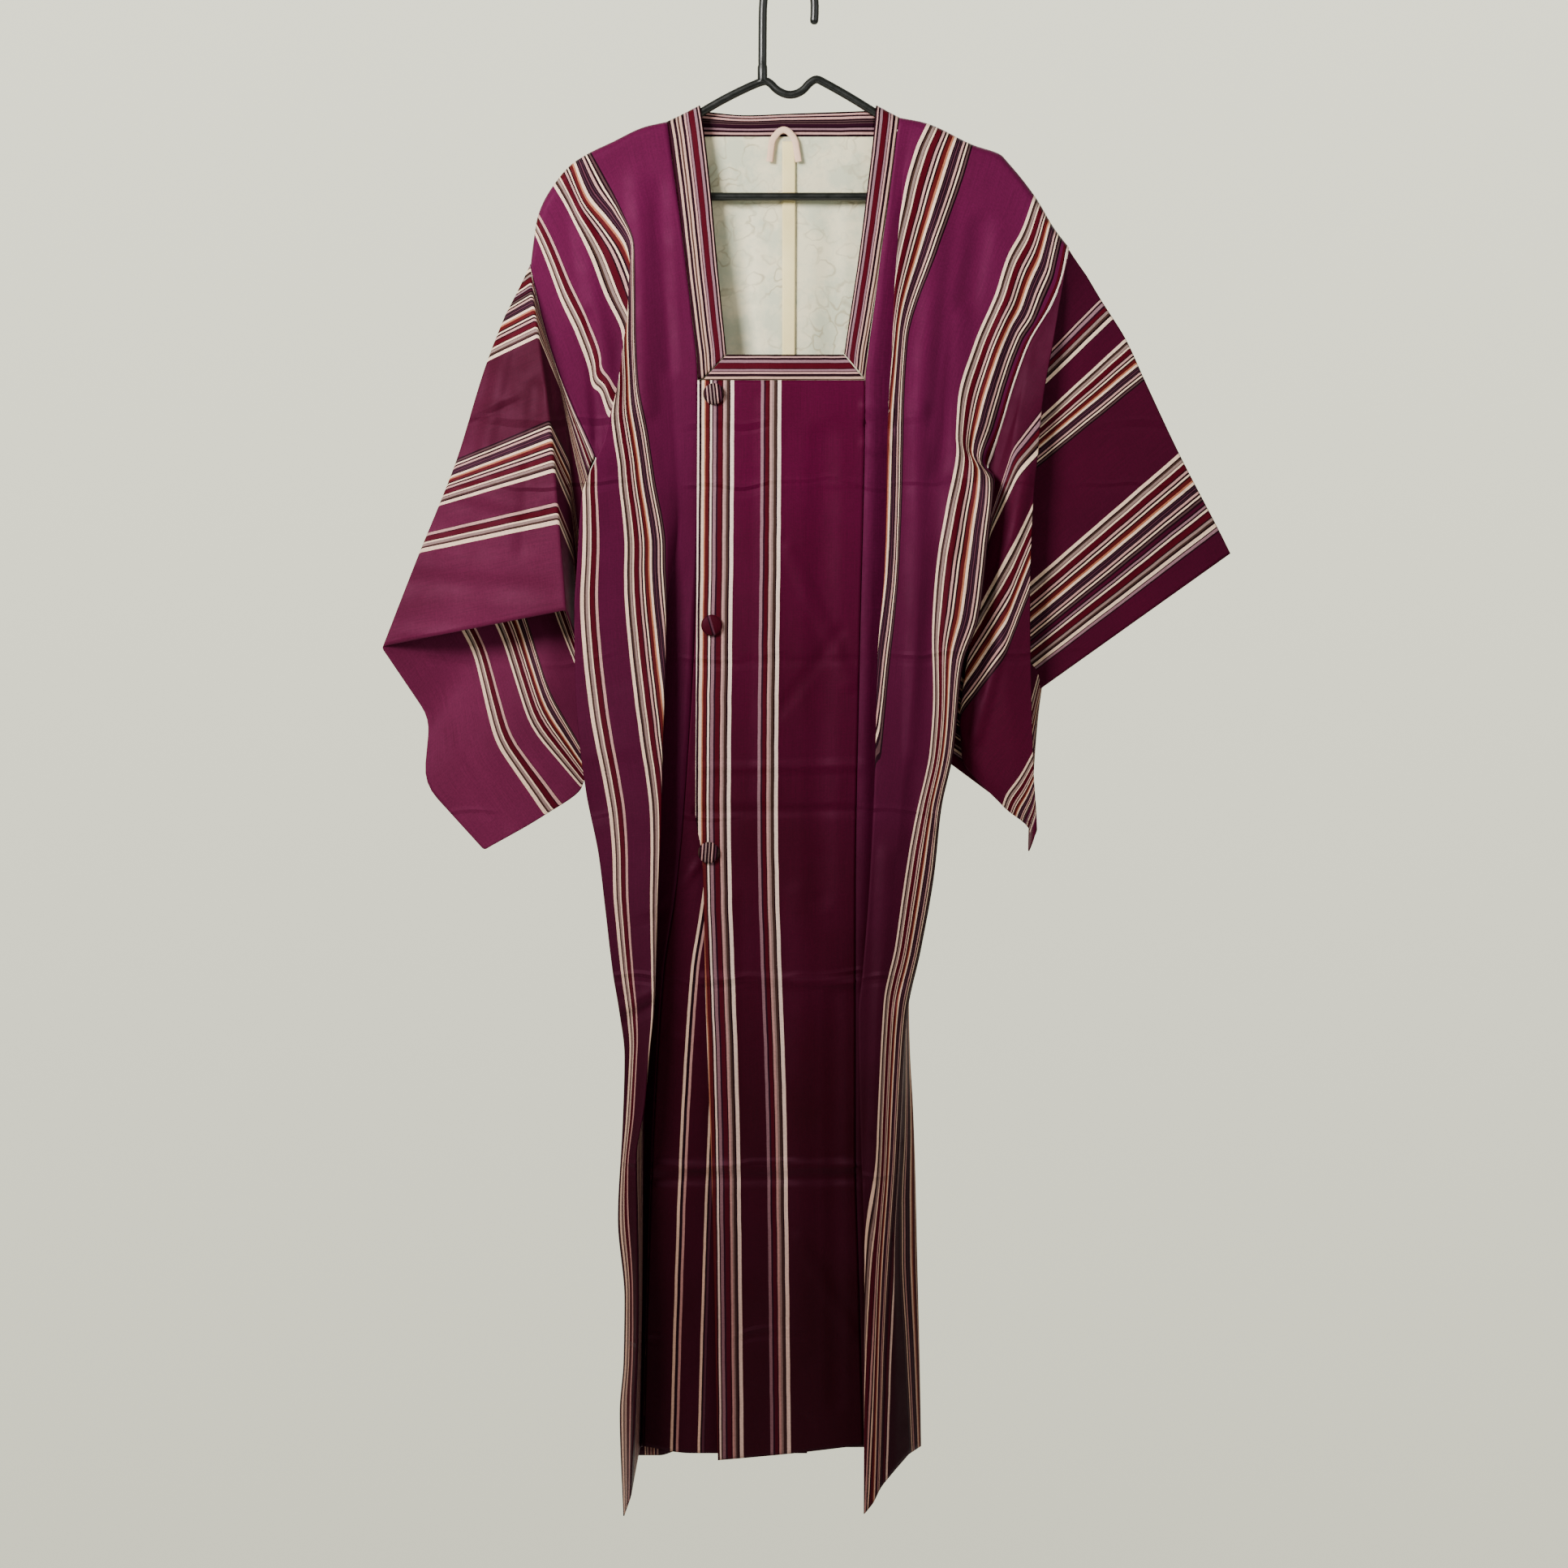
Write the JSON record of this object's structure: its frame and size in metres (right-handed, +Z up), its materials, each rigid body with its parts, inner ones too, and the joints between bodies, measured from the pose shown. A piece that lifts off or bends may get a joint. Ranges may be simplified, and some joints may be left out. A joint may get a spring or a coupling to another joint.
{
  "type": "michiyuki coat on clothes hanger",
  "caption": "Square-necked kimono over-coat of striped cloth with wide open sleeves and an overlapped buttoned front, hung on a slim plastic clothes hanger.",
  "frame": {"origin": "inner top of the hanger's hook, where a rail holds it", "axes": "+Z up, the coat's front faces -Y, +X towards the viewer's right; the hanger lies in the plane Y = 0"},
  "size_m": [0.8337, 0.1011, 1.5088],
  "materials": {
    "body_left_cloth": "soft silk sheen, woven stripes",
    "body_right_cloth": "soft silk sheen, woven stripes",
    "overlap_top_cloth": "soft silk sheen, woven stripes",
    "overlap_under_cloth": "soft silk sheen, woven stripes",
    "sleeve_left_cloth": "soft silk sheen, woven stripes",
    "sleeve_right_cloth": "soft silk sheen, woven stripes",
    "neck_band_left_cloth": "soft silk sheen, woven stripes",
    "neck_band_right_cloth": "soft silk sheen, woven stripes",
    "neck_band_bottom_cloth": "soft silk sheen, woven stripes",
    "neck_band_back_cloth": "soft silk sheen, woven stripes",
    "lining_cloth": "matt, faintly clouded",
    "strip_cloth": "matt",
    "loop_tape": "matt",
    "button_1_cloth": "soft silk sheen",
    "button_2_cloth": "soft silk sheen",
    "button_3_cloth": "soft silk sheen",
    "hanger_plastic": "satin"
  },
  "bodies": {
    "root": {"body_left": "body_left_cloth", "body_right": "body_right_cloth", "front_overlap_top": "overlap_top_cloth", "front_overlap_under": "overlap_under_cloth", "sleeve_left": "sleeve_left_cloth", "sleeve_right": "sleeve_right_cloth", "neck_band_left": "neck_band_left_cloth", "neck_band_right": "neck_band_right_cloth", "neck_band_bottom": "neck_band_bottom_cloth", "neck_band_back": "neck_band_back_cloth", "back_lining": "lining_cloth", "lining_strip": "strip_cloth", "hanging_loop": "loop_tape", "button_1": "button_1_cloth", "button_2": "button_2_cloth", "button_3": "button_3_cloth", "hanger": "hanger_plastic"}
  },
  "joints": []
}
